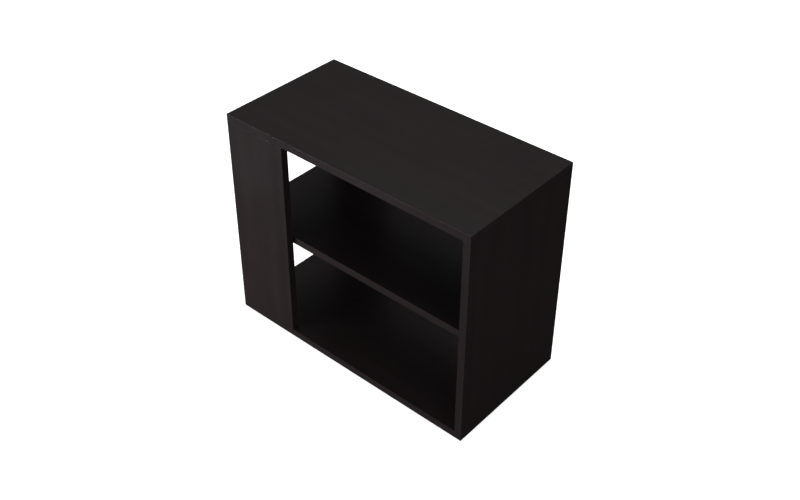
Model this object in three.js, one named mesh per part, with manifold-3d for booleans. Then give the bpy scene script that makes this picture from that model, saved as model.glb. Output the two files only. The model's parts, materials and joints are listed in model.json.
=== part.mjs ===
// Lift-top coffee table: a small open-shelf table whose top rises and comes forward on two pairs of arms.
// Millimetres, +Z up. The front faces -Y and the long side runs along X.
// Origin: the centre of the footprint, on the floor.

import * as THREE from "three";
import { mergeVertices } from "three/addons/utils/BufferGeometryUtils.js";
import Module from "manifold-3d";

const wasm = await Module();
wasm.setup();

// ---------- Driving dimensions: the box ----------

const WIDTH = 600;
const DEPTH = 300;
const HEIGHT = 486;
const BOARD = 16; // melamine-faced particleboard
const GLIDE_HEIGHT = 2; // the bottom board stands this far off the floor
const QUARTER_PANEL = 150; // width of the front and rear panels at the left end
const SHELF_TOP = 254;
const SHELF_INSET = 4; // the mid shelf's left end, behind the panels' outer edge
const GAP = 0.3; // left between pieces that touch
const CLEARANCE = 0.4; // left round a fastener in its hole

const LEFT = -WIDTH / 2;
const RIGHT = WIDTH / 2;
const FRONT = -DEPTH / 2;
const BACK = DEPTH / 2;
const BOTTOM_TOP = GLIDE_HEIGHT + BOARD;
const TOP_UNDERSIDE = HEIGHT - BOARD;
const SHELF_MIDDLE = SHELF_TOP - BOARD / 2;
const UPRIGHT_BOTTOM = BOTTOM_TOP + GAP;
const UPRIGHT_TOP = TOP_UNDERSIDE - GAP;
const END_INNER = RIGHT - BOARD;
const SHELF_REACH = DEPTH / 2 - BOARD - GAP; // from the middle to the mid shelf's front or rear edge
const PANEL_RIGHT = LEFT + QUARTER_PANEL;
const PANEL_MIDDLE = LEFT + QUARTER_PANEL / 2;
const HALF_BOARD = BOARD / 2;

// ---------- Driving dimensions: the lift ----------

const OPEN_ANGLE = THREE.MathUtils.degToRad(100);
const ARM_LENGTH = 150; // pivot to pivot
const ARM_WIDTH = 16;
const HEEL = 20; // the lower arm runs on past its base pivot, and meets the stop there
const SYNC_AT = 75; // the bar that joins the lower arms, measured from their base pivot
const LOWER_PIVOT = new THREE.Vector2(-60, 434); // y and z of the lower arms' base pivot
const LINK = new THREE.Vector2(40, 0).rotateAround(new THREE.Vector2(), THREE.MathUtils.degToRad(145));
const UPPER_PIVOT = LOWER_PIVOT.clone().add(LINK);
const RAIL_HIGH = 466;
const RAIL_LOW = 438; // lower edge of the rail's strip
const EAR_LOW = 404; // the rail reaches down this far round its pivots
const EAR_FRONT = -116;
const EAR_REAR = -32;
const PIN_RADIUS = 4;
const PIN_HEAD = 6.5;
const FIXED_HOLE = PIN_RADIUS + 0.35; // for a pin riveted in place
const BEARING_HOLE = PIN_RADIUS + 0.4; // for a pin that the arm turns on

// The lift's layers, as distances inward from each rail's outer face.
const RAIL_FACE = END_INNER - GAP;
const RAIL_PLATE = [0, 2];
const ARM_PLATE = [5, 8];
const BRACKET_PLATE = [8.6, 10.6];

const ROUND = 32; // sides of a plate's round end, and of the cams
const FINE = 16; // sides of a round piece that shows
const COARSE = 12; // sides of a round piece that is hidden

// ---------- Materials ----------

const boardMaterial = new THREE.MeshStandardMaterial({ color: 0x231f20, roughness: 0.4, metalness: 0 });
const blackSteel = new THREE.MeshStandardMaterial({ color: 0x1c1c1e, roughness: 0.5, metalness: 0.6 });
const zincSteel = new THREE.MeshStandardMaterial({ color: 0xb4b6b8, roughness: 0.35, metalness: 1 });
const zincCasting = new THREE.MeshStandardMaterial({ color: 0x9c9ea0, roughness: 0.5, metalness: 0.9 });
const beech = new THREE.MeshStandardMaterial({ color: 0xc8a878, roughness: 0.8, metalness: 0 });
const rubber = new THREE.MeshStandardMaterial({ color: 0x151515, roughness: 0.8, metalness: 0 });
const glidePlastic = new THREE.MeshStandardMaterial({ color: 0x1a1a1a, roughness: 0.6, metalness: 0 });

// ---------- Shape helpers ----------

const UP = new THREE.Vector3(0, 0, 1);

/** A round piece about +Z from its outline, a list of [radius, height] that starts and ends on the axis. */
function turned(outline, sides) {
  const points = outline.map(([radius, height]) => new THREE.Vector2(radius, height));
  return new THREE.LatheGeometry(points, sides).rotateX(Math.PI / 2);
}

/** A round cutter about +Z, between two heights. */
function drill(radius, low, high, sides = COARSE) {
  return turned([[0, low], [radius, low], [radius, high], [0, high]], sides);
}

/** Turns a geometry's +Z to a direction and moves its origin to a point. */
function aimed(geometry, point, direction) {
  const turn = new THREE.Quaternion().setFromUnitVectors(UP, direction);
  return geometry.applyQuaternion(turn).translate(point.x, point.y, point.z);
}

/** A box from its lowest and highest corners. */
function boxBetween(low, high) {
  const size = new THREE.Vector3().subVectors(high, low);
  const centre = new THREE.Vector3().addVectors(low, high).multiplyScalar(0.5);
  return new THREE.BoxGeometry(size.x, size.y, size.z).translate(centre.x, centre.y, centre.z);
}

/** A closed geometry as a solid that can be joined and cut. */
function toSolid(geometry) {
  const bare = geometry.clone();
  bare.deleteAttribute("normal");
  bare.deleteAttribute("uv");
  const merged = mergeVertices(bare, 1e-3);
  const index = merged.index.array;
  const triangles = [];
  for (let i = 0; i < index.length; i += 3) {
    const [a, b, c] = [index[i], index[i + 1], index[i + 2]];
    if (a !== b && b !== c && a !== c) triangles.push(a, b, c);
  }
  return new wasm.Manifold(
    new wasm.Mesh({
      numProp: 3,
      vertProperties: merged.attributes.position.array,
      triVerts: Uint32Array.from(triangles),
    }),
  );
}

/** Joins some geometries and cuts others out of them. */
function shaped(joined, cut) {
  let solid = toSolid(joined[0]);
  for (const geometry of joined.slice(1)) solid = solid.add(toSolid(geometry));
  for (const geometry of cut) solid = solid.subtract(toSolid(geometry));
  const mesh = solid.getMesh();
  const result = new THREE.BufferGeometry();
  result.setAttribute("position", new THREE.BufferAttribute(Float32Array.from(mesh.vertProperties), 3));
  result.setIndex(new THREE.BufferAttribute(Uint32Array.from(mesh.triVerts), 1));
  result.computeVertexNormals();
  return result;
}

// ---------- The scene graph ----------

const table = new THREE.Group();

/** Adds a named piece, at a point, with its geometry's +Z turned to a direction. */
function add(name, geometry, material, point = new THREE.Vector3(), direction = UP, parent = table) {
  const mesh = new THREE.Mesh(geometry, material);
  mesh.name = name;
  mesh.position.copy(point);
  mesh.quaternion.setFromUnitVectors(UP, direction);
  parent.add(mesh);
}

/** Adds a board between two corners. Its cutters are placed in the table's coordinates. */
function addBoard(name, low, high, cutters) {
  const centre = new THREE.Vector3().addVectors(low, high).multiplyScalar(0.5);
  const geometry = shaped([boxBetween(low, high)], cutters).translate(-centre.x, -centre.y, -centre.z);
  add(name, geometry, boardMaterial, centre);
}

const at = (x, y, z) => new THREE.Vector3(x, y, z);

// Every hole that a fastener needs, by the board that it is drilled in.
const holes = { bottom: [], end: [], front: [], rear: [], shelf: [], top: [] };

// ---------- Glides under the bottom board ----------

const GLIDE = { radius: 10, chamfer: 1, chamferHeight: 0.6 };
const GLIDE_X = 262;
const GLIDE_Y = 112;
const NAIL = { radius: 1.2, tip: 12, point: 2 };

function addGlides() {
  const shoulder = GLIDE_HEIGHT - GAP;
  const outline = [
    [0, 0],
    [GLIDE.radius - GLIDE.chamfer, 0],
    [GLIDE.radius, GLIDE.chamferHeight],
    [GLIDE.radius, shoulder],
    [NAIL.radius, shoulder],
    [NAIL.radius, NAIL.tip - NAIL.point],
    [0, NAIL.tip],
  ];
  for (const [row, y] of [["front", -GLIDE_Y], ["rear", GLIDE_Y]]) {
    for (const [end, x] of [["left", -GLIDE_X], ["right", GLIDE_X]]) {
      add(`glide_${row}_${end}`, turned(outline, FINE), glidePlastic, at(x, y, 0));
      holes.bottom.push(aimed(drill(NAIL.radius + GAP, 0, NAIL.tip + GAP), at(x, y, 0), UP));
    }
  }
}

// ---------- Screws up through the bottom board into the uprights ----------

const CARCASS_SCREW = { head: 5, collar: 3.4, thread: 2.7, length: 46, point: 3 };
const HEAD_END = 2; // heights along the screw, from its head's face
const CONE_END = 5;
const COLLAR_END = 14;
const THREAD_START = 14.6;
const END_SCREW_Y = 110;
const PANEL_SCREW_INSET = 30; // from the panel's side edges

function addCarcassScrews() {
  const { head, collar, thread, length, point } = CARCASS_SCREW;
  const outline = (extra) => [
    [0, -extra],
    [head + extra, -extra],
    [head + extra, HEAD_END],
    [collar + extra, CONE_END],
    [collar + extra, COLLAR_END],
    [thread + extra, THREAD_START],
    [thread + extra, length - point + extra],
    [0, length + extra],
  ];
  const panelFirst = LEFT + PANEL_SCREW_INSET;
  const panelSecond = PANEL_RIGHT - PANEL_SCREW_INSET;
  const places = [
    ["end", 1, RIGHT - HALF_BOARD, -END_SCREW_Y],
    ["end", 2, RIGHT - HALF_BOARD, END_SCREW_Y],
    ["front", 1, panelFirst, FRONT + HALF_BOARD],
    ["front", 2, panelSecond, FRONT + HALF_BOARD],
    ["rear", 1, panelFirst, BACK - HALF_BOARD],
    ["rear", 2, panelSecond, BACK - HALF_BOARD],
  ];
  for (const [board, number, x, y] of places) {
    const start = at(x, y, GLIDE_HEIGHT + GAP);
    add(`carcass_screw_${board}_${number}`, turned(outline(0), COARSE), zincSteel, start);
    holes.bottom.push(aimed(turned(outline(CLEARANCE), COARSE), start, UP));
    holes[board].push(aimed(drill(thread + GAP, 0, length + GAP), start, UP));
  }
}

// ---------- Cam fittings and dowels between the mid shelf and the uprights ----------

const CAM = { radius: 7.4, height: 12.7, setback: 24 };
const CAM_CROSS = { reach: 4, halfWidth: 0.6, depth: 1.2 }; // the recess for a screwdriver
const CAM_BOLT = { head: 3.4, neck: 2, shank: 3, thread: 2.6, bite: 11, point: 2 };
const BOLT_HEAD_END = 2.5; // along the bolt, from the cam's axis
const BOLT_NECK_END = 7;
const CAM_Y = 90; // the two cams at the end panel
const DOWEL = { radius: 4, inShelf: 20, inUpright: 10, aside: 32, chamfer: 0.6, chamferLength: 0.8 };

function addShelfFittings() {
  const edgeX = END_INNER - GAP;
  const toRight = at(1, 0, 0);
  const toFront = at(0, -1, 0);
  const toBack = at(0, 1, 0);
  const places = [
    ["end_front", "end", at(edgeX, -CAM_Y, SHELF_MIDDLE), toRight, toBack],
    ["end_rear", "end", at(edgeX, CAM_Y, SHELF_MIDDLE), toRight, toFront],
    ["front", "front", at(PANEL_MIDDLE, -SHELF_REACH, SHELF_MIDDLE), toFront, toRight],
    ["rear", "rear", at(PANEL_MIDDLE, SHELF_REACH, SHELF_MIDDLE), toBack, toRight],
  ];
  for (const [name, board, edge, out, sideways] of places) {
    addCamFitting(name, board, edge, out);
    addDowel(name, board, edge.clone().addScaledVector(sideways, DOWEL.aside), out);
  }
}

/** A cam in the shelf's underside, and the bolt that it pulls on, which is screwed into an upright. */
function addCamFitting(name, board, edge, out) {
  const centre = edge.clone().addScaledVector(out, -CAM.setback);
  const seat = centre.clone().setZ(SHELF_TOP - BOARD + GAP);
  const tip = CAM.setback + CAM_BOLT.bite;
  const cavity = CAM_BOLT.head + CLEARANCE;
  const past = 2; // how far a cutter runs on past the face it starts from

  const bolt = [
    [0, -BOLT_HEAD_END],
    [CAM_BOLT.head, -BOLT_HEAD_END],
    [CAM_BOLT.head, BOLT_HEAD_END],
    [CAM_BOLT.neck, BOLT_HEAD_END],
    [CAM_BOLT.neck, BOLT_NECK_END],
    [CAM_BOLT.shank, BOLT_NECK_END],
    [CAM_BOLT.shank, CAM.setback],
    [CAM_BOLT.thread, CAM.setback],
    [CAM_BOLT.thread, tip - CAM_BOLT.point],
    [0, tip],
  ];
  add(`cam_bolt_${name}`, turned(bolt, COARSE), zincSteel, centre, out);

  const hollowStart = -BOLT_HEAD_END - 2 * GAP;
  const hollow = aimed(drill(cavity, hollowStart, CAM.radius + past), at(0, 0, centre.z - seat.z), out);
  const { reach, halfWidth, depth } = CAM_CROSS;
  const cross = [
    boxBetween(at(-reach, -halfWidth, -past), at(reach, halfWidth, depth)),
    boxBetween(at(-halfWidth, -reach, -past), at(halfWidth, reach, depth)),
  ];
  const drum = drill(CAM.radius, 0, CAM.height, ROUND);
  add(`cam_${name}`, shaped([drum], [hollow, ...cross]), zincCasting, seat);

  const threadHole = CAM_BOLT.thread + 2 * GAP;
  holes.shelf.push(aimed(drill(CAM.radius + CLEARANCE, -past, CAM.height + GAP, ROUND), seat, UP));
  holes.shelf.push(aimed(drill(cavity, 0, CAM.setback + past), centre, out));
  holes[board].push(aimed(drill(threadHole, CAM.setback - past, tip + GAP), centre, out));
}

/** A dowel across the joint, half in the shelf and half in an upright. */
function addDowel(name, board, edge, out) {
  const { radius, inShelf, inUpright, chamfer, chamferLength } = DOWEL;
  const length = inShelf + inUpright;
  const outline = [
    [0, 0],
    [radius - chamfer, 0],
    [radius, chamferLength],
    [radius, length - chamferLength],
    [radius - chamfer, length],
    [0, length],
  ];
  const start = edge.clone().addScaledVector(out, -inShelf);
  const hole = () => aimed(drill(radius + CLEARANCE, -CLEARANCE, length + CLEARANCE), start, out);
  add(`dowel_${name}`, turned(outline, COARSE), beech, start, out);
  holes.shelf.push(hole());
  holes[board].push(hole());
}

// ---------- Rubber buffers in the uprights' top edges ----------

const BUFFER = { stem: 2.5, head: 4, shoulder: 8, height: 10 };
const BUFFER_Y = 120; // the two buffers in the end panel

function addBuffers() {
  const { stem, head, shoulder, height } = BUFFER;
  const outline = (extra, proud) => [
    [0, -extra],
    [stem + extra, -extra],
    [stem + extra, shoulder - extra],
    [head + extra, shoulder - extra],
    [head + extra, height + proud],
    [0, height + proud],
  ];
  const places = [
    ["end_front", "end", RIGHT - HALF_BOARD, -BUFFER_Y],
    ["end_rear", "end", RIGHT - HALF_BOARD, BUFFER_Y],
    ["front", "front", PANEL_MIDDLE, FRONT + HALF_BOARD],
    ["rear", "rear", PANEL_MIDDLE, BACK - HALF_BOARD],
  ];
  for (const [name, board, x, y] of places) {
    const start = at(x, y, UPRIGHT_TOP - height);
    add(`buffer_${name}`, turned(outline(0, 0), COARSE), rubber, start);
    holes[board].push(aimed(turned(outline(GAP, 1), COARSE), start, UP));
  }
}

// ---------- The lift ----------

const SCREW = { head: 4, headHeight: 2.2, crown: 1.2, shank: 1.7, point: 3 };
const RAIL_SCREW_LENGTH = 14;
const RAIL_SCREW_Y = 118; // the two screws through the right rail
const BRACKET_SCREW_LENGTH = 12;
const BRACKET_SCREW_INSET = 10; // from the bracket's front and rear ends
const TAB_REACH = 21.7; // the left rail's end tabs, along X
const PLATE_MARGIN = 13; // from an arm pin to the bracket's lower edge
const PLATE_END = 15; // from an arm pin to the bracket's front or rear end
const FLANGE = 18; // the bracket's width under the top
const ARM_PIN = { head: 6, innerHead: 1.5, outerHead: 1.7 };
const SYNC_RADIUS = 6;

/** The sides of the table that carry a rail: a name and the direction outward along X. */
const SIDES = [["left", -1], ["right", 1]];

/** The x of a layer's face on one side, from its distance inward from the rail's outer face. */
const layerX = (side, distance) => side * (RAIL_FACE - distance);

/** A panhead screw with its head's underside at a point, and its shank along a direction. */
function addScrew(name, point, direction, length) {
  const outline = [
    [0, -SCREW.headHeight],
    [SCREW.head - SCREW.crown, -SCREW.headHeight],
    [SCREW.head, -SCREW.headHeight / 2],
    [SCREW.head, 0],
    [SCREW.shank, 0],
    [SCREW.shank, length - SCREW.point],
    [0, length],
  ];
  add(name, turned(outline, COARSE), zincSteel, point, direction);
}

/** The hole that a screw needs, in whatever it passes through. */
function screwHole(point, direction, length) {
  return aimed(drill(SCREW.shank + CLEARANCE, 0, length + GAP), point, direction);
}

/** A flat plate with an outline in y and z, in a layer of one side. */
function plate(shape, side, [outer, inner]) {
  const geometry = new THREE.ExtrudeGeometry(shape, {
    depth: inner - outer,
    bevelEnabled: false,
    curveSegments: ROUND / 2,
  });
  const across = new THREE.Matrix4().makeBasis(at(0, 1, 0), at(0, 0, 1), at(1, 0, 0));
  return geometry.applyMatrix4(across).translate(Math.min(layerX(side, outer), layerX(side, inner)), 0, 0);
}

/** A round cutter along X at a place in y and z, through the layers of one side. */
function crossHole(side, place, radius) {
  const cutter = drill(radius, -GAP, BRACKET_PLATE[1] + GAP, FINE);
  return aimed(cutter, at(layerX(side, 0), place.x, place.y), at(-side, 0, 0));
}

/** Where the lower arm's heel meets the stop pin when the top is fully open. */
function stopPlace() {
  const reach = ARM_WIDTH / 2 + PIN_RADIUS + GAP;
  return new THREE.Vector2(
    LOWER_PIVOT.x - HEEL * Math.cos(OPEN_ANGLE) + reach * Math.sin(OPEN_ANGLE),
    LOWER_PIVOT.y - HEEL * Math.sin(OPEN_ANGLE) - reach * Math.cos(OPEN_ANGLE),
  );
}

/** A rail's outline in y and z: a strip from front to rear, with an ear hanging round the pivots. */
function railShape() {
  const corner = 8;
  const quarter = Math.PI / 2;
  const shape = new THREE.Shape();
  shape.moveTo(-SHELF_REACH, RAIL_LOW);
  shape.lineTo(EAR_FRONT - corner, RAIL_LOW);
  shape.absarc(EAR_FRONT - corner, RAIL_LOW - corner, corner, quarter, 0, true);
  shape.absarc(EAR_FRONT + corner, EAR_LOW + corner, corner, 2 * quarter, 3 * quarter, false);
  shape.absarc(EAR_REAR - corner, EAR_LOW + corner, corner, -quarter, 0, false);
  shape.absarc(EAR_REAR + corner, RAIL_LOW - corner, corner, 2 * quarter, quarter, true);
  shape.lineTo(SHELF_REACH, RAIL_LOW);
  shape.lineTo(SHELF_REACH, RAIL_HIGH);
  shape.lineTo(-SHELF_REACH, RAIL_HIGH);
  shape.closePath();
  return shape;
}

/** The rails: steel plates from front to rear. The left one has an end tab at each panel. */
function addRails() {
  const thick = RAIL_PLATE[1] - RAIL_PLATE[0];
  const screwZ = (RAIL_LOW + RAIL_HIGH) / 2;
  for (const [name, side] of SIDES) {
    const outerFace = layerX(side, RAIL_PLATE[0]);
    const joined = [plate(railShape(), side, RAIL_PLATE)];
    const cut = [
      crossHole(side, LOWER_PIVOT, FIXED_HOLE),
      crossHole(side, UPPER_PIVOT, FIXED_HOLE),
      crossHole(side, stopPlace(), FIXED_HOLE),
    ];
    for (const [row, toward] of [["front", -1], ["rear", 1]]) {
      let head;
      let direction;
      if (side < 0) {
        const tabEnds = [toward * SHELF_REACH, toward * (SHELF_REACH - thick)];
        joined.push(
          boxBetween(
            at(outerFace, Math.min(...tabEnds), RAIL_LOW),
            at(outerFace + TAB_REACH, Math.max(...tabEnds), RAIL_HIGH),
          ),
        );
        head = at(outerFace + (TAB_REACH + thick) / 2, tabEnds[1] - toward * GAP, screwZ);
        direction = at(0, toward, 0);
      } else {
        head = at(layerX(side, RAIL_PLATE[1] + GAP), toward * RAIL_SCREW_Y, screwZ);
        direction = at(1, 0, 0);
      }
      const board = side < 0 ? row : "end";
      addScrew(`rail_screw_${name}_${row}`, head, direction, RAIL_SCREW_LENGTH);
      cut.push(screwHole(head, direction, RAIL_SCREW_LENGTH));
      holes[board].push(screwHole(head, direction, RAIL_SCREW_LENGTH));
    }
    add(`rail_${name}`, shaped(joined, cut), blackSteel);
  }
}

/** The pins riveted in the rails: two that the arms turn on and one that stops the lower arm. */
function addBasePins() {
  const pivotPin = [
    [0, 0],
    [PIN_RADIUS, 0],
    [PIN_RADIUS, RAIL_PLATE[1] + GAP],
    [PIN_HEAD, RAIL_PLATE[1] + GAP],
    [PIN_HEAD, ARM_PLATE[0] - GAP],
    [PIN_RADIUS, ARM_PLATE[0] - GAP],
    [PIN_RADIUS, ARM_PLATE[1] + GAP],
    [PIN_HEAD, ARM_PLATE[1] + GAP],
    [PIN_HEAD, BRACKET_PLATE[1] - GAP],
    [0, BRACKET_PLATE[1] - GAP],
  ];
  const places = [["lower_pivot_pin", LOWER_PIVOT], ["upper_pivot_pin", UPPER_PIVOT]];
  const stop = stopPlace();
  for (const [name, side] of SIDES) {
    const inward = at(-side, 0, 0);
    for (const [kind, place] of places) {
      const foot = at(layerX(side, 0), place.x, place.y);
      add(`${kind}_${name}`, turned(pivotPin, FINE), zincSteel, foot, inward);
    }
    const foot = at(layerX(side, 0), stop.x, stop.y);
    add(`stop_pin_${name}`, drill(PIN_RADIUS, 0, ARM_PLATE[1], FINE), zincSteel, foot, inward);
  }
}

/** An arm's outline about its base pivot, lying back along +Y, with holes at some distances along it. */
function armShape(heel, bores) {
  const half = ARM_WIDTH / 2;
  const shape = new THREE.Shape();
  shape.absarc(ARM_LENGTH, 0, half, -Math.PI / 2, Math.PI / 2, false);
  shape.absarc(-heel, 0, half, Math.PI / 2, (3 * Math.PI) / 2, false);
  shape.closePath();
  for (const [distance, radius] of bores) {
    shape.holes.push(new THREE.Path().absarc(distance, 0, radius, 0, 2 * Math.PI, true));
  }
  return shape;
}

/** The four arms, each in a group at its base pivot, and the bar that joins the lower two. */
function addArms() {
  const pivots = [[0, BEARING_HOLE], [ARM_LENGTH, BEARING_HOLE]];
  const kinds = [
    ["lower_arm", LOWER_PIVOT, armShape(HEEL, [...pivots, [SYNC_AT, FIXED_HOLE]])],
    ["upper_arm", UPPER_PIVOT, armShape(0, pivots)],
  ];
  for (const [kind, pivot, shape] of kinds) {
    const group = new THREE.Group();
    group.position.set(0, pivot.x, pivot.y);
    for (const [name, side] of SIDES) {
      add(`${kind}_${name}`, plate(shape, side, ARM_PLATE), blackSteel, at(0, 0, 0), UP, group);
    }
    table.add(group);
  }

  const half = RAIL_FACE - ARM_PLATE[0];
  const shoulder = RAIL_FACE - ARM_PLATE[1] - GAP;
  const bar = [
    [0, -half],
    [PIN_RADIUS, -half],
    [PIN_RADIUS, -shoulder],
    [SYNC_RADIUS, -shoulder],
    [SYNC_RADIUS, shoulder],
    [PIN_RADIUS, shoulder],
    [PIN_RADIUS, half],
    [0, half],
  ];
  add("sync_bar", turned(bar, FINE), blackSteel, at(0, LOWER_PIVOT.x + SYNC_AT, LOWER_PIVOT.y), at(1, 0, 0));
}

/** A bracket's outline in y and z, with its two lower corners rounded. */
function bracketShape(yLow, yHigh, zLow, zHigh) {
  const corner = 10;
  const quarter = Math.PI / 2;
  const shape = new THREE.Shape();
  shape.moveTo(yLow, zHigh);
  shape.lineTo(yLow, zLow + corner);
  shape.absarc(yLow + corner, zLow + corner, corner, 2 * quarter, 3 * quarter, false);
  shape.absarc(yHigh - corner, zLow + corner, corner, -quarter, 0, false);
  shape.lineTo(yHigh, zHigh);
  shape.closePath();
  return shape;
}

/** The angle brackets under the top, with their pins and screws. */
function addTopBrackets() {
  const lowerEnd = LOWER_PIVOT.clone().add(new THREE.Vector2(ARM_LENGTH, 0));
  const upperEnd = UPPER_PIVOT.clone().add(new THREE.Vector2(ARM_LENGTH, 0));
  const thick = BRACKET_PLATE[1] - BRACKET_PLATE[0];
  const yLow = upperEnd.x - PLATE_END;
  const yHigh = lowerEnd.x + PLATE_END;
  const zLow = LOWER_PIVOT.y - PLATE_MARGIN;
  const topFace = TOP_UNDERSIDE - GAP;

  const { head: pinHead, innerHead, outerHead } = ARM_PIN;
  const armOuter = BRACKET_PLATE[1] + GAP + innerHead - ARM_PLATE[0] + GAP;
  const pin = [
    [0, 0],
    [pinHead, 0],
    [pinHead, innerHead],
    [PIN_RADIUS, innerHead],
    [PIN_RADIUS, armOuter],
    [pinHead, armOuter],
    [pinHead, armOuter + outerHead],
    [0, armOuter + outerHead],
  ];

  for (const [name, side] of SIDES) {
    const outerFace = layerX(side, BRACKET_PLATE[0]);
    const flangeEnds = [outerFace, outerFace - side * FLANGE];
    const joined = [
      plate(bracketShape(yLow, yHigh, zLow, topFace), side, BRACKET_PLATE),
      boxBetween(
        at(Math.min(...flangeEnds), yLow, topFace - thick),
        at(Math.max(...flangeEnds), yHigh, topFace),
      ),
    ];
    const cut = [crossHole(side, lowerEnd, FIXED_HOLE), crossHole(side, upperEnd, FIXED_HOLE)];

    for (const [row, y] of [["front", yLow + BRACKET_SCREW_INSET], ["rear", yHigh - BRACKET_SCREW_INSET]]) {
      const head = at(outerFace - side * (FLANGE / 2 + thick), y, topFace - thick - GAP);
      addScrew(`bracket_screw_${name}_${row}`, head, UP, BRACKET_SCREW_LENGTH);
      cut.push(screwHole(head, UP, BRACKET_SCREW_LENGTH));
      holes.top.push(screwHole(head, UP, BRACKET_SCREW_LENGTH));
    }
    add(`top_bracket_${name}`, shaped(joined, cut), blackSteel);

    const outward = at(side, 0, 0);
    const start = layerX(side, BRACKET_PLATE[1] + GAP + innerHead);
    add(`lower_arm_pin_${name}`, turned(pin, FINE), zincSteel, at(start, lowerEnd.x, lowerEnd.y), outward);
    add(`upper_arm_pin_${name}`, turned(pin, FINE), zincSteel, at(start, upperEnd.x, upperEnd.y), outward);
  }
}

// ---------- The boards ----------

function addBoards() {
  addBoard("bottom_panel", at(LEFT, FRONT, GLIDE_HEIGHT), at(RIGHT, BACK, BOTTOM_TOP), holes.bottom);
  addBoard("end_panel", at(END_INNER, FRONT, UPRIGHT_BOTTOM), at(RIGHT, BACK, UPRIGHT_TOP), holes.end);
  addBoard(
    "front_panel",
    at(LEFT, FRONT, UPRIGHT_BOTTOM),
    at(PANEL_RIGHT, FRONT + BOARD, UPRIGHT_TOP),
    holes.front,
  );
  addBoard(
    "rear_panel",
    at(LEFT, BACK - BOARD, UPRIGHT_BOTTOM),
    at(PANEL_RIGHT, BACK, UPRIGHT_TOP),
    holes.rear,
  );
  addBoard(
    "mid_shelf",
    at(LEFT + SHELF_INSET, -SHELF_REACH, SHELF_TOP - BOARD),
    at(END_INNER - GAP, SHELF_REACH, SHELF_TOP),
    holes.shelf,
  );
  addBoard("top_panel", at(LEFT, FRONT, TOP_UNDERSIDE), at(RIGHT, BACK, HEIGHT), holes.top);
}

// The fittings come first, because each one adds its holes to the boards it goes into.
addGlides();
addCarcassScrews();
addShelfFittings();
addBuffers();
addRails();
addBasePins();
addArms();
addTopBrackets();
addBoards();

export default table;
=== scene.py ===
"""The looks of the lift-top coffee table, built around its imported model. Metres, +Z up, front towards -Y."""

import json
import math

import bmesh
import bpy
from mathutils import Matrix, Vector
from mathutils.geometry import tessellate_polygon


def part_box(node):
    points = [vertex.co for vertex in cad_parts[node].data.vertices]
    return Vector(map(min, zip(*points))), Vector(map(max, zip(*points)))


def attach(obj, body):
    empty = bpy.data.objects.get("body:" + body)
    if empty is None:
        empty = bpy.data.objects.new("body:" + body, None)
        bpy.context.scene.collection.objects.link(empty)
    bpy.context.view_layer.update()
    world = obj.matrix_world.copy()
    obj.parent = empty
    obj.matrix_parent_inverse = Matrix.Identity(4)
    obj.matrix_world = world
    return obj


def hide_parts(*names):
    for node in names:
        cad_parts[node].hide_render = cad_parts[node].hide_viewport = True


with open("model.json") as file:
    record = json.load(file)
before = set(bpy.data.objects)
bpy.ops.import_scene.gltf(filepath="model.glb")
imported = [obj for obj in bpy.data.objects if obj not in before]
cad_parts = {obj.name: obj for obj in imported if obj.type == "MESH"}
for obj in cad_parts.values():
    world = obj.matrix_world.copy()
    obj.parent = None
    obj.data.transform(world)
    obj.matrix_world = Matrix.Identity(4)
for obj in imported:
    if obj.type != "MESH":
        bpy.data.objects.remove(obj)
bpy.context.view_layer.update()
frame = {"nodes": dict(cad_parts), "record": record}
NODES = frame["nodes"]
RECORD = frame["record"]
BODY_OF = {node: body for body, nodes in RECORD["behaviour"]["bodies"].items() for node in nodes}

# ---------- Camera ----------

AZIMUTH = math.radians(41.39)  # from straight in front, towards +X
ELEVATION = math.radians(35.21)
DISTANCE = 2.1438
TARGET = Vector((-0.0078, 0.0, 0.3326))
LENS = 49.32
SENSOR = 36.0
SHIFT_X = 0.0114
SHIFT_Y = -0.0595


def add_camera():
    """The camera, at its angle and distance from the target."""
    back = Vector(
        (
            math.sin(AZIMUTH) * math.cos(ELEVATION),
            -math.cos(AZIMUTH) * math.cos(ELEVATION),
            math.sin(ELEVATION),
        )
    )
    data = bpy.data.cameras.new("camera")
    data.lens = LENS
    data.sensor_width = SENSOR
    data.shift_x = SHIFT_X
    data.shift_y = SHIFT_Y
    camera = bpy.data.objects.new("camera", data)
    camera.location = TARGET + back * DISTANCE
    camera.rotation_euler = back.to_track_quat("Z", "Y").to_euler()
    bpy.context.scene.collection.objects.link(camera)
    bpy.context.scene.camera = camera


# ---------- Shader helpers ----------


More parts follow.
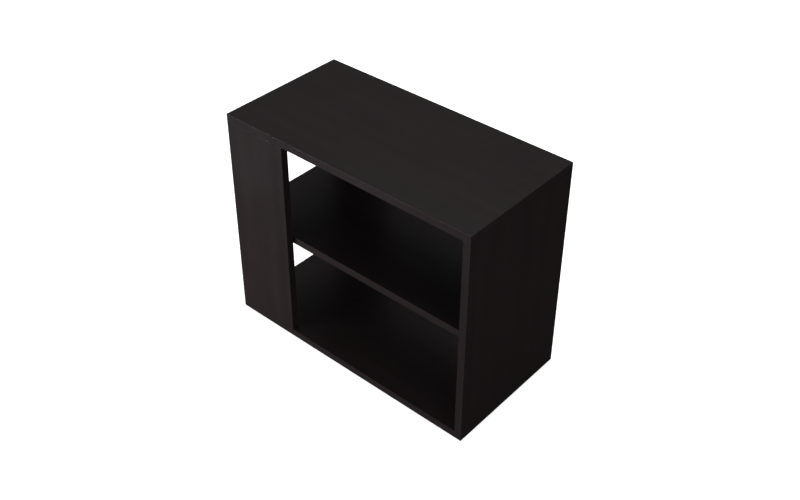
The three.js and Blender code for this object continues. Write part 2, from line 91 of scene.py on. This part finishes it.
class Graph:
    """Adds and joins the nodes of one shader tree. A value is a constant or another node's output."""

    def __init__(self, tree):
        self.tree = tree

    def add(self, kind, settings=None, inputs=None):
        """Adds a node, with its settings and inputs by name."""
        node = self.tree.nodes.new(kind)
        for name, value in (settings or {}).items():
            setattr(node, name, value)
        for name, value in (inputs or {}).items():
            self.feed(node.inputs[name], value)
        return node

    def feed(self, socket, value):
        """Gives an input a constant, or a link from another node's output."""
        if isinstance(value, bpy.types.NodeSocket):
            self.tree.links.new(value, socket)
        else:
            socket.default_value = value

    def math(self, operation, *values):
        """The result of one operation on some numbers."""
        node = self.add("ShaderNodeMath", {"operation": operation})
        for socket, value in zip(node.inputs, values):
            self.feed(socket, value)
        return node.outputs[0]

    # A Mix node has its own set of sockets for each data type, all with the same names, so their
    # numbers tell them apart.

    def mix(self, factor, low, high):
        """A number between low and high."""
        node = self.add("ShaderNodeMix", {"data_type": "FLOAT"})
        self.feed(node.inputs[0], factor)
        self.feed(node.inputs[2], low)
        self.feed(node.inputs[3], high)
        return node.outputs[0]

    def blend(self, factor, low, high):
        """A colour between low and high."""
        node = self.add("ShaderNodeMix", {"data_type": "RGBA"})
        self.feed(node.inputs[0], factor)
        self.feed(node.inputs[6], low)
        self.feed(node.inputs[7], high)
        return node.outputs[2]

    def steps(self, value, low, high):
        """0 below low, 1 above high, and even between them."""
        inputs = {"Value": value, "From Min": low, "From Max": high}
        return self.add("ShaderNodeMapRange", {"clamp": True}, inputs).outputs["Result"]

    def noise(self, vector, scale, detail, roughness=0.5):
        """Soft noise between 0 and 1."""
        inputs = {"Vector": vector, "Scale": scale, "Detail": detail, "Roughness": roughness}
        return self.add("ShaderNodeTexNoise", inputs=inputs).outputs["Fac"]

    def vector(self, *parts):
        """A vector from its x, y and z."""
        node = self.add("ShaderNodeCombineXYZ")
        for socket, value in zip(node.inputs, parts):
            self.feed(socket, value)
        return node.outputs[0]

    def bump(self, height, strength, distance):
        """The normal of a surface with bumps of a height, where 1 stands for a distance in metres."""
        inputs = {"Height": height, "Strength": strength, "Distance": distance}
        return self.add("ShaderNodeBump", inputs=inputs).outputs["Normal"]


def new_material(name):
    """A material with one Principled shader: returns the material, its graph, and the shader."""
    material = bpy.data.materials.new(name)
    material.use_nodes = True
    tree = material.node_tree
    tree.nodes.clear()
    graph = Graph(tree)
    shader = graph.add("ShaderNodeBsdfPrincipled")
    output = graph.add("ShaderNodeOutputMaterial")
    tree.links.new(shader.outputs["BSDF"], output.inputs["Surface"])
    return material, graph, shader


def place_of(graph):
    """The surface point in the table's frame: as one vector, and then as x, y and z."""
    coordinates = graph.add("ShaderNodeTexCoord").outputs["Object"]
    parts = graph.add("ShaderNodeSeparateXYZ", inputs={"Vector": coordinates})
    return coordinates, parts.outputs[0], parts.outputs[1], parts.outputs[2]


def facing(graph, axis):
    """1 on faces square to an axis, and 0 on the others. It changes over at 45 degrees."""
    normal = graph.add("ShaderNodeTexCoord").outputs["Normal"]
    parts = graph.add("ShaderNodeSeparateXYZ", inputs={"Vector": normal})
    size = graph.math("ABSOLUTE", parts.outputs[axis])
    return graph.steps(size, low=0.68, high=0.72)


# ---------- Black wood-grain board ----------

BOARD_SPECULAR = 0.08
BOARD_DARK = (0.0099, 0.0073, 0.0077, 1.0)
BOARD_LIGHT = (0.0143, 0.0106, 0.0113, 1.0)
PORE_COLOUR = (0.0050, 0.0042, 0.0044, 1.0)
LINE_COLOUR = (0.0040, 0.0034, 0.0036, 1.0)
FIGURE_SHARE = 0.55  # of the board's tone, and the streaks give the rest
PORE_TINT = 0.5
LINE_TINT = 0.45

# The layers of the grain: cycles a metre along it and across it, and the noise's detail and roughness.
FIGURE = (1.6, 46.0, 4.0, 0.6)
STREAKS = (9.0, 520.0, 3.0, 0.65)  # a millimetre or less across
PORES = (60.0, 1500.0, 2.0, 0.5)
DRIFT_ALONG = 2.2
DRIFT_SCALE = 3.0
WANDER = 0.018  # how far the grain wanders from side to side

# Roughness: the satin face, from patch to patch, and what the pores and streaks add to it.
SATIN_SMOOTH = 0.27
SATIN_ROUGH = 0.36
PATCH_SCALE = 7.0
PORE_ROUGHNESS = 0.10
STREAK_ROUGHNESS = 0.04

PORE_DEPTH = 0.00006
STREAK_HEIGHT = 0.35  # as a share of the pores' depth
EDGE_BAND = 0.001  # the edging's thickness, seen as a fine line along each face's rim
LINE_CORE = 0.00006  # the line is at its darkest this far from its middle
LINE_END = 0.00018  # and gone this far from it

# Each board, the axis its grain follows, and an offset that gives it its own stretch of grain.
BOARDS = {
    "bottom_panel": ("X", 1.3),
    "mid_shelf": ("X", 2.9),
    "top_panel": ("X", 4.1),
    "end_panel": ("Z", 5.7),
    "front_panel": ("Z", 7.2),
    "rear_panel": ("Z", 8.8),
}


def grain_layers(graph, place, axes, offset):
    """The grain's figure, streaks and pores. It follows the edging on the board's ends."""
    along_axis, wide_axis, thin_axis = axes
    on_end = facing(graph, along_axis)
    along = graph.mix(on_end, place[along_axis], place[wide_axis])
    on_sides = graph.math("ADD", place[wide_axis], place[thin_axis])
    across = graph.math("ADD", graph.mix(on_end, on_sides, place[thin_axis]), offset)

    # The grain wanders slowly from side to side along the board.
    drift_point = graph.vector(graph.math("MULTIPLY", along, DRIFT_ALONG), across, offset)
    drift = graph.noise(drift_point, DRIFT_SCALE, detail=2.0)
    wander = graph.math("MULTIPLY", graph.math("SUBTRACT", drift, 0.5), WANDER)
    bent = graph.math("ADD", across, wander)

    layers = []
    for along_scale, across_scale, detail, roughness in (FIGURE, STREAKS, PORES):
        stretched = graph.vector(
            graph.math("MULTIPLY", along, along_scale),
            graph.math("MULTIPLY", bent, across_scale),
            offset,
        )
        layers.append(graph.noise(stretched, 1.0, detail, roughness))
    return layers


def edging_line(graph, place, low, high, axes):
    """The edging's joint: 1 on a fine line one edging's thickness in from the rim of each wide face."""
    *face_axes, thin_axis = axes
    insets = []
    for axis in face_axes:
        middle = (low[axis] + high[axis]) / 2
        out = graph.math("ABSOLUTE", graph.math("SUBTRACT", place[axis], middle))
        insets.append(graph.math("SUBTRACT", (high[axis] - low[axis]) / 2, out))
    rim = graph.math("MINIMUM", *insets)
    away = graph.math("ABSOLUTE", graph.math("SUBTRACT", rim, EDGE_BAND))
    line = graph.math("SUBTRACT", 1.0, graph.steps(away, LINE_CORE, LINE_END))
    return graph.math("MULTIPLY", line, facing(graph, thin_axis))


def board_material(node, grain, offset):
    """A melamine board with fine grain along one axis."""
    material, graph, shader = new_material(f"board_{node}")
    _, *place = place_of(graph)
    low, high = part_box(node)
    size = high - low
    along_axis = "XYZ".index(grain)
    thin_axis = min(range(3), key=lambda axis: size[axis])
    axes = (along_axis, 3 - along_axis - thin_axis, thin_axis)

    figure, streaks, specks = grain_layers(graph, place, axes, offset)
    figure_tone = graph.steps(figure, low=0.32, high=0.68)
    streak_tone = graph.steps(streaks, low=0.30, high=0.70)
    pores = graph.steps(specks, low=0.60, high=0.70)
    line = edging_line(graph, place, low, high, axes)

    tone = graph.math(
        "ADD",
        graph.math("MULTIPLY", figure_tone, FIGURE_SHARE),
        graph.math("MULTIPLY", streak_tone, 1.0 - FIGURE_SHARE),
    )
    colour = graph.blend(tone, BOARD_DARK, BOARD_LIGHT)
    colour = graph.blend(graph.math("MULTIPLY", pores, PORE_TINT), colour, PORE_COLOUR)
    colour = graph.blend(graph.math("MULTIPLY", line, LINE_TINT), colour, LINE_COLOUR)
    graph.feed(shader.inputs["Base Color"], colour)
    shader.inputs["Specular IOR Level"].default_value = BOARD_SPECULAR

    # Handling leaves the satin a little uneven, in soft patches.
    patches = graph.noise(graph.vector(*place), PATCH_SCALE, detail=3.0, roughness=0.55)
    roughness = graph.mix(graph.steps(patches, low=0.3, high=0.7), SATIN_SMOOTH, SATIN_ROUGH)
    roughness = graph.math("ADD", roughness, graph.math("MULTIPLY", pores, PORE_ROUGHNESS))
    roughness = graph.math("ADD", roughness, graph.math("MULTIPLY", streak_tone, STREAK_ROUGHNESS))
    graph.feed(shader.inputs["Roughness"], roughness)

    relief = graph.math("SUBTRACT", graph.math("MULTIPLY", streaks, STREAK_HEIGHT), pores)
    relief = graph.math("SUBTRACT", relief, line)
    graph.feed(shader.inputs["Normal"], graph.bump(relief, strength=0.35, distance=PORE_DEPTH))
    return material


# ---------- Metal, rubber, plastic and beech ----------

COAT_DARK = (0.010, 0.010, 0.0105, 1.0)
COAT_LIGHT = (0.018, 0.018, 0.019, 1.0)
MOULDED_LIGHTER = 1.5  # how much lighter a moulded piece's grain gets
MOULDED_SPREAD = 0.06  # of its roughness, either way
BEECH_DARK = (0.42, 0.25, 0.12, 1.0)
BEECH_LIGHT = (0.62, 0.42, 0.24, 1.0)
FIBRES = 80.0  # how much finer the fibres are across the wood than along it


def powder_coat():
    """Black powder coat, finely pebbled."""
    material, graph, shader = new_material("black_powder_coat")
    point = place_of(graph)[0]
    pebble = graph.noise(point, 1800.0, detail=2.0, roughness=0.55)
    cloud = graph.noise(point, 35.0, detail=3.0)
    graph.feed(shader.inputs["Base Color"], graph.blend(cloud, COAT_DARK, COAT_LIGHT))
    graph.feed(shader.inputs["Roughness"], graph.mix(pebble, low=0.38, high=0.56))
    graph.feed(shader.inputs["Normal"], graph.bump(pebble, strength=0.30, distance=0.00012))
    shader.inputs["Specular IOR Level"].default_value = 0.5
    return material


def metal(name, low, high, roughness, spread, grit):
    """A bare metal: its colour between two tones, its roughness and spread, and the scale of its grit."""
    material, graph, shader = new_material(name)
    point = place_of(graph)[0]
    cloud = graph.noise(point, 90.0, detail=3.0, roughness=0.6)
    grain = graph.noise(point, grit, detail=2.0, roughness=0.6)
    graph.feed(shader.inputs["Base Color"], graph.blend(cloud, low, high))
    graph.feed(shader.inputs["Roughness"], graph.mix(grain, roughness - spread, roughness + spread))
    graph.feed(shader.inputs["Normal"], graph.bump(grain, strength=0.15, distance=0.00008))
    shader.inputs["Metallic"].default_value = 1.0
    return material


def moulded(name, shade, roughness, grit, depth):
    """A moulded black piece with a faint grain, of a scale and a depth."""
    material, graph, shader = new_material(name)
    point = place_of(graph)[0]
    grain = graph.noise(point, grit, detail=3.0, roughness=0.55)
    dark = (shade, shade, shade, 1.0)
    light = tuple(MOULDED_LIGHTER * value for value in dark[:3]) + (1.0,)
    smooth = roughness - MOULDED_SPREAD
    rough = roughness + MOULDED_SPREAD
    graph.feed(shader.inputs["Base Color"], graph.blend(grain, dark, light))
    graph.feed(shader.inputs["Roughness"], graph.mix(grain, smooth, rough))
    graph.feed(shader.inputs["Normal"], graph.bump(grain, strength=0.2, distance=depth))
    return material


def beech(grain):
    """Beech with its fibres along one axis."""
    material, graph, shader = new_material(f"beech_along_{grain.lower()}")
    _, *place = place_of(graph)
    finer = [1.0 if axis == grain else FIBRES for axis in "XYZ"]
    stretched = graph.vector(*(graph.math("MULTIPLY", part, scale) for part, scale in zip(place, finer)))
    fibres = graph.noise(stretched, 12.0, detail=4.0, roughness=0.6)
    graph.feed(shader.inputs["Base Color"], graph.blend(fibres, BEECH_DARK, BEECH_LIGHT))
    graph.feed(shader.inputs["Roughness"], graph.mix(fibres, low=0.60, high=0.75))
    graph.feed(shader.inputs["Normal"], graph.bump(fibres, strength=0.2, distance=0.0001))
    return material


def small_materials():
    """The materials of everything but the boards, by name."""
    return {
        "black_steel": powder_coat(),
        "zinc_steel": metal(
            "zinc_plate",
            low=(0.50, 0.51, 0.53, 1.0),
            high=(0.68, 0.68, 0.67, 1.0),
            roughness=0.30,
            spread=0.08,
            grit=1400.0,
        ),
        "zinc_casting": metal(
            "zinc_casting",
            low=(0.36, 0.36, 0.37, 1.0),
            high=(0.50, 0.50, 0.50, 1.0),
            roughness=0.48,
            spread=0.10,
            grit=700.0,
        ),
        "beech_along_x": beech("X"),
        "beech_along_y": beech("Y"),
        "rubber": moulded("rubber", shade=0.012, roughness=0.75, grit=900.0, depth=0.0001),
        "glide_plastic": moulded("glide_plastic", shade=0.014, roughness=0.5, grit=1200.0, depth=0.00006),
    }


# ---------- Fine pieces ----------

SHARP = math.radians(35)


def stand_in(node, mesh, material):
    """Makes a finished bmesh the piece that stands in a CAD node's place."""
    bmesh.ops.recalc_face_normals(mesh, faces=mesh.faces)
    for edge in mesh.edges:
        edge.smooth = edge.calc_face_angle(0.0) < SHARP
    data = bpy.data.meshes.new(f"{node}_fine")
    mesh.to_mesh(data)
    mesh.free()
    data.materials.append(material)
    piece = bpy.data.objects.new(f"{node}_fine", data)
    bpy.context.scene.collection.objects.link(piece)
    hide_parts(node)
    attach(piece, BODY_OF[node])


# ---------- Turned pieces: pins, screws, dowels, buffers and glides ----------

MM = 0.001
ROUND = 48  # sides of a turned piece
FLUTE_EVERY = 4  # a dowel's flute is pressed in at every fourth side
FLUTE_DEPTH = 0.3
RECESS_TAPER = 0.75  # the width of a recess's floor, as a share of its mouth's


def thread(root, crest, pitch, start, end):
    """A screw's outline along its thread, with each turn as a ring."""
    points = []
    turns = int((end - start) / pitch)
    for turn in range(turns):
        foot = start + turn * pitch
        points += [(root, foot), (crest, foot + 0.4 * pitch), (crest, foot + 0.5 * pitch)]
    return points + [(root, end)]


def cross_recess(half_width, reach):
    """The outline of a cross-shaped recess."""
    points = []
    for quarter in range(4):
        turn = quarter * math.pi / 2
        for x, y in ((half_width, half_width), (half_width, reach), (-half_width, reach)):
            across = x * math.cos(turn) - y * math.sin(turn)
            along = x * math.sin(turn) + y * math.cos(turn)
            points.append((across, along))
    return points


def hex_recess(radius):
    """The outline of a six-sided socket."""
    turns = [step * math.pi / 3 for step in range(6)]
    return [(radius * math.cos(turn), radius * math.sin(turn)) for turn in turns]


# The recesses in the screws' heads: each one's outline and depth, in millimetres.
CROSS = (cross_recess(half_width=0.55, reach=1.9), 1.3)
SOCKET = (hex_recess(radius=2.3), 2.5)

# Outlines as (radius, height) in millimetres. An outline starts on the axis, or at the rim of the
# flat face that a recess is cut in, and ends on the axis.
PIVOT_PIN = [
    (0, 0), (4, 0), (4, 2.3),  # through the rail
    (6.2, 2.3), (6.5, 2.6), (6.5, 4.4), (6.2, 4.7),  # collar between the rail and the arm
    (4, 4.7), (4, 8.3),  # through the arm
    (6.3, 8.3), (6.5, 8.6), (6.3, 9.3), (5.4, 9.9), (3.6, 10.2), (0, 10.3),  # domed head
]
ARM_PIN = [
    (0, 0), (3.2, 0.1), (5, 0.4), (5.8, 0.9), (6, 1.5),  # head inside the bracket
    (4, 1.5), (4, 7.7),  # through the bracket and the arm
    (6, 7.7), (5.8, 8.4), (5, 9.0), (3.2, 9.3), (0, 9.4),  # head outside the arm
]
STOP_PIN = [(0, 0), (4, 0), (4, 7.5), (3.5, 8), (0, 8)]
BUFFER = [
    (0, 0), (2.5, 0), (2.5, 8),  # stem
    (3.7, 8), (4, 8.3), (4, 9.5), (3.5, 10), (0, 10),  # head
]
GLIDE = [
    (0, 0), (8.8, 0), (9.6, 0.3), (10, 0.9), (10, 1.7),  # foot
    (1.2, 1.7), (1.2, 10), (0, 12),  # nail
]
DOWEL = [(0, 0), (3.2, 0), (4, 1), (4, 29), (3.2, 30), (0, 30)]
PAN_HEAD = [(2.6, 0), (3.5, 0.4), (4, 1.2), (4, 2.2), (1.2, 2.2)]
BRACKET_SCREW = PAN_HEAD + thread(root=1.2, crest=1.7, pitch=1.2, start=2.8, end=12.4) + [(0, 14.2)]
RAIL_SCREW = PAN_HEAD + thread(root=1.2, crest=1.7, pitch=1.2, start=4.4, end=14) + [(0, 16.2)]
CARCASS_HEAD = [(4.5, 0), (5, 0.5), (5, 2), (3.4, 5), (3.4, 14), (2.1, 14.6)]
CARCASS_SCREW = CARCASS_HEAD + thread(root=2.1, crest=2.7, pitch=3, start=15, end=45) + [(0, 46)]
CAM_BOLT_SHANK = [
    (0, 0), (2.4, 0.2), (3.4, 1.2), (3.4, 3.8), (2.4, 4.8),  # ball that the cam holds
    (2, 5), (2, 9.5),  # neck
    (3, 9.5), (3, 26.5), (1.9, 26.5),  # shank
]
CAM_BOLT = CAM_BOLT_SHANK + thread(root=1.9, crest=2.6, pitch=1.5, start=27, end=36) + [(0, 37.5)]

# The bar between the lower arms, in millimetres: its ends are turned down to fit them.
BAR_RADIUS = 6
BAR_CHAMFER = 0.4
BAR_END_RADIUS = 4
BAR_END_LENGTH = 3.3

LEFTWARD = (-1, 0, 0)
RIGHTWARD = (1, 0, 0)
FRONTWARD = (0, -1, 0)
BACKWARD = (0, 1, 0)
UPWARD = (0, 0, 1)

# The shelf's joints with the uprights, and the direction outward at each.
OUTWARD = {"end_front": RIGHTWARD, "end_rear": RIGHTWARD, "front": FRONTWARD, "rear": BACKWARD}


def add_ring(mesh, radius, height, fluted):
    """One ring of a turned piece, or a single vertex on its axis."""
    if radius == 0:
        return [mesh.verts.new((0, 0, height * MM))]
    ring = []
    for step in range(ROUND):
        turn = 2 * math.pi * step / ROUND
        pressed = FLUTE_DEPTH if fluted and step % FLUTE_EVERY == 0 else 0
        reach = (radius - pressed) * MM
        ring.append(mesh.verts.new((reach * math.cos(turn), reach * math.sin(turn), height * MM)))
    return ring


def join_rings(mesh, low, high):
    """Fills the band between two rings. Either may be a single vertex."""
    for step in range(ROUND):
        after = (step + 1) % ROUND
        if len(low) == 1:
            mesh.faces.new((low[0], high[after], high[step]))
        elif len(high) == 1:
            mesh.faces.new((low[step], low[after], high[0]))
        else:
            mesh.faces.new((low[step], low[after], high[after], high[step]))


def add_recess(mesh, rim, recess):
    """Closes a head's flat face round a recess, with the recess's walls and floor."""
    outline, depth = recess
    mouth = [mesh.verts.new((x * MM, y * MM, 0)) for x, y in outline]
    inner = RECESS_TAPER * MM
    floor = [mesh.verts.new((x * inner, y * inner, depth * MM)) for x, y in outline]
    corners = rim + mouth
    for triangle in tessellate_polygon([[v.co for v in rim], [v.co for v in mouth]]):
        mesh.faces.new([corners[index] for index in triangle])
    for index in range(len(mouth)):
        after = (index + 1) % len(mouth)
        mesh.faces.new((mouth[index], mouth[after], floor[after], floor[index]))
    mesh.faces.new(floor)


def turned_piece(node, direction, outline, material, recess=None, fluted=False):
    """A fine round piece in a CAD node's place, with its outline running along a direction."""
    mesh = bmesh.new()
    rings = [add_ring(mesh, radius, height, fluted) for radius, height in outline]
    for low, high in zip(rings, rings[1:]):
        join_rings(mesh, low, high)
    if recess:
        add_recess(mesh, rings[0], recess)
    for face in mesh.faces:
        face.smooth = True

    low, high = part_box(node)
    middle = (low + high) / 2
    direction = Vector(direction)
    length = abs(direction.dot(high - low))
    start = middle - direction * length / 2
    turn = Vector((0, 0, 1)).rotation_difference(direction)
    for vertex in mesh.verts:
        vertex.co = turn @ vertex.co + start
    stand_in(node, mesh, material)


def bar_outline(length):
    """The outline of the bar between the lower arms."""
    points = []
    for height, inward in ((0, 1), (length, -1)):
        shoulder = height + inward * BAR_END_LENGTH
        half = [
            (0, height),
            (BAR_END_RADIUS, height),
            (BAR_END_RADIUS, shoulder),
            (BAR_RADIUS - BAR_CHAMFER, shoulder),
            (BAR_RADIUS, shoulder + inward * BAR_CHAMFER),
        ]
        points += half if inward > 0 else half[::-1]
    return points


def add_lift_pins(materials):
    """The lift's pins, and the bar that joins its lower arms."""
    zinc = materials["zinc_steel"]
    for side, inward, outward in (("left", RIGHTWARD, LEFTWARD), ("right", LEFTWARD, RIGHTWARD)):
        for level in ("lower", "upper"):
            turned_piece(f"{level}_pivot_pin_{side}", inward, PIVOT_PIN, zinc)
            turned_piece(f"{level}_arm_pin_{side}", outward, ARM_PIN, zinc)
        turned_piece(f"stop_pin_{side}", inward, STOP_PIN, zinc)
    low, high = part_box("sync_bar")
    outline = bar_outline((high.x - low.x) / MM)
    turned_piece("sync_bar", RIGHTWARD, outline, materials["black_steel"])


def add_buffers_and_glides(materials):
    """The rubber buffers under the top, and the glides under the bottom board."""
    for place in OUTWARD:
        turned_piece(f"buffer_{place}", UPWARD, BUFFER, materials["rubber"])
    for row in ("front", "rear"):
        for end in ("left", "right"):
            turned_piece(f"glide_{row}_{end}", UPWARD, GLIDE, materials["glide_plastic"])


def add_screws(materials):
    """The screws of the brackets, of the rails and of the bottom board."""
    zinc = materials["zinc_steel"]
    for row, toward in (("front", FRONTWARD), ("rear", BACKWARD)):
        for side in ("left", "right"):
            turned_piece(f"bracket_screw_{side}_{row}", UPWARD, BRACKET_SCREW, zinc, CROSS)
        turned_piece(f"rail_screw_left_{row}", toward, RAIL_SCREW, zinc, CROSS)
        turned_piece(f"rail_screw_right_{row}", RIGHTWARD, RAIL_SCREW, zinc, CROSS)
    for board in ("end", "front", "rear"):
        for number in (1, 2):
            turned_piece(f"carcass_screw_{board}_{number}", UPWARD, CARCASS_SCREW, zinc, SOCKET)


def add_shelf_joints(materials):
    """The cam bolts and dowels between the shelf and the uprights."""
    for place, direction in OUTWARD.items():
        turned_piece(f"cam_bolt_{place}", direction, CAM_BOLT, materials["zinc_steel"])
        wood = materials["beech_along_x" if direction == RIGHTWARD else "beech_along_y"]
        turned_piece(f"dowel_{place}", direction, DOWEL, wood, fluted=True)


# ---------- Boards, plates and cams: the CAD shapes with their edges rounded ----------

BOARD_EDGE = 0.0003
STEEL_EDGE = 0.0004
CAST_EDGE = 0.0002
BOARD_SHORTEST = 0.012  # only a board's outer edges are longer than this
EDGE_ANGLE = math.radians(50)
FLAT_ANGLE = math.radians(0.5)
WELD = 0.00001
BEND_FACE = 20e-6  # a face smaller than this, in square metres, belongs to a bend or a round end


def rounded_copy(node, material, width, shortest=0.0):
    """Copies a CAD node and rounds its sharp edges, so that they catch the light."""
    mesh = bmesh.new()
    mesh.from_mesh(NODES[node].data)
    bmesh.ops.remove_doubles(mesh, verts=mesh.verts, dist=WELD)
    bmesh.ops.dissolve_limit(mesh, angle_limit=FLAT_ANGLE, verts=mesh.verts, edges=mesh.edges)
    sharp = [
        edge
        for edge in mesh.edges
        if edge.calc_length() > shortest and edge.calc_face_angle(0.0) > EDGE_ANGLE
    ]
    bmesh.ops.bevel(
        mesh,
        geom=sharp,
        offset=width,
        offset_type="OFFSET",
        segments=3,
        profile=0.5,
        affect="EDGES",
        clamp_overlap=False,
    )
    for face in mesh.faces:
        face.smooth = face.calc_area() < BEND_FACE
    stand_in(node, mesh, material)


def add_boards():
    """The six boards, each with its own stretch of grain."""
    for node, (grain, offset) in BOARDS.items():
        rounded_copy(node, board_material(node, grain, offset), BOARD_EDGE, BOARD_SHORTEST)


def add_plates_and_cams(materials):
    """The lift's steel plates, and the cams in the shelf's underside."""
    for side in ("left", "right"):
        for kind in ("rail", "lower_arm", "upper_arm", "top_bracket"):
            rounded_copy(f"{kind}_{side}", materials["black_steel"], STEEL_EDGE)
    for place in OUTWARD:
        rounded_copy(f"cam_{place}", materials["zinc_casting"], CAST_EDGE)


# ---------- Floor and light ----------

FLOOR_SEEN = (0.92, 0.92, 0.92, 1.0)
FLOOR_BOUNCE = (0.05, 0.05, 0.05, 1.0)  # it sends little light back up, so the dark sides stay dark
FLOOR_GLOW = 0.66  # evens the floor out, so that the shadows on it stay pale
FLOOR_HALF = 12.0

SKY = 0.245  # the room's soft light, apart from where the camera sees it
BACKDROP = 1.0

# Each light's place, the point it faces, its width and height, and its power. The front light
# stays below the top's face, so that it makes no glare there.
LIGHTS = {
    "front": ((-1.35, -2.25, 0.24), (-0.05, -0.15, 0.24), (1.3, 0.46), 111.0),
    "overhead": ((-0.3, 0.5, 2.6), (0.0, 0.0, 0.0), (2.4, 2.4), 49.0),
    "side": ((2.4, -1.0, 0.6), (0.0, 0.0, 0.3), (1.2, 1.2), 28.0),
}


def add_floor():
    """A wide pale floor."""
    mesh = bpy.data.meshes.new("floor")
    corners = [(x * FLOOR_HALF, y * FLOOR_HALF, 0) for x, y in ((-1, -1), (1, -1), (1, 1), (-1, 1))]
    mesh.from_pydata(corners, [], [(0, 1, 2, 3)])
    floor = bpy.data.objects.new("floor", mesh)
    bpy.context.scene.collection.objects.link(floor)
    material = bpy.data.materials.new("floor")
    material.use_nodes = True
    material.node_tree.nodes.clear()
    graph = Graph(material.node_tree)
    seen = graph.add("ShaderNodeLightPath").outputs["Is Camera Ray"]
    diffuse = graph.add("ShaderNodeBsdfDiffuse")
    graph.feed(diffuse.inputs["Color"], graph.blend(seen, FLOOR_BOUNCE, FLOOR_SEEN))
    glow = graph.add("ShaderNodeEmission")
    graph.feed(glow.inputs["Strength"], graph.math("MULTIPLY", seen, FLOOR_GLOW))
    both = graph.add("ShaderNodeAddShader")
    graph.tree.links.new(diffuse.outputs[0], both.inputs[0])
    graph.tree.links.new(glow.outputs[0], both.inputs[1])
    output = graph.add("ShaderNodeOutputMaterial")
    graph.tree.links.new(both.outputs[0], output.inputs["Surface"])
    mesh.materials.append(material)


def add_world():
    """A white room, whose own light is soft and dim."""
    world = bpy.data.worlds.new("room")
    world.use_nodes = True
    world.node_tree.nodes.clear()
    graph = Graph(world.node_tree)
    seen = graph.add("ShaderNodeLightPath").outputs["Is Camera Ray"]
    background = graph.add("ShaderNodeBackground", inputs={"Color": (1.0, 1.0, 1.0, 1.0)})
    graph.feed(background.inputs["Strength"], graph.mix(seen, SKY, BACKDROP))
    output = graph.add("ShaderNodeOutputWorld")
    graph.tree.links.new(background.outputs[0], output.inputs["Surface"])
    bpy.context.scene.world = world


def add_light(name, place, aim, size, power):
    """A rectangular studio light that faces a point."""
    data = bpy.data.lights.new(name, "AREA")
    data.shape = "RECTANGLE"
    data.size, data.size_y = size
    data.energy = power
    light = bpy.data.objects.new(name, data)
    light.location = place
    toward = Vector(aim) - Vector(place)
    light.rotation_euler = toward.to_track_quat("-Z", "Y").to_euler()
    bpy.context.scene.collection.objects.link(light)


def main():
    """Makes the whole scene."""
    bpy.context.scene.view_settings.view_transform = "Standard"
    bpy.context.scene.view_settings.look = "None"
    add_camera()
    materials = small_materials()
    add_lift_pins(materials)
    add_buffers_and_glides(materials)
    add_screws(materials)
    add_shelf_joints(materials)
    add_boards()
    add_plates_and_cams(materials)
    add_floor()
    add_world()
    for name, settings in LIGHTS.items():
        add_light(name, *settings)


main()
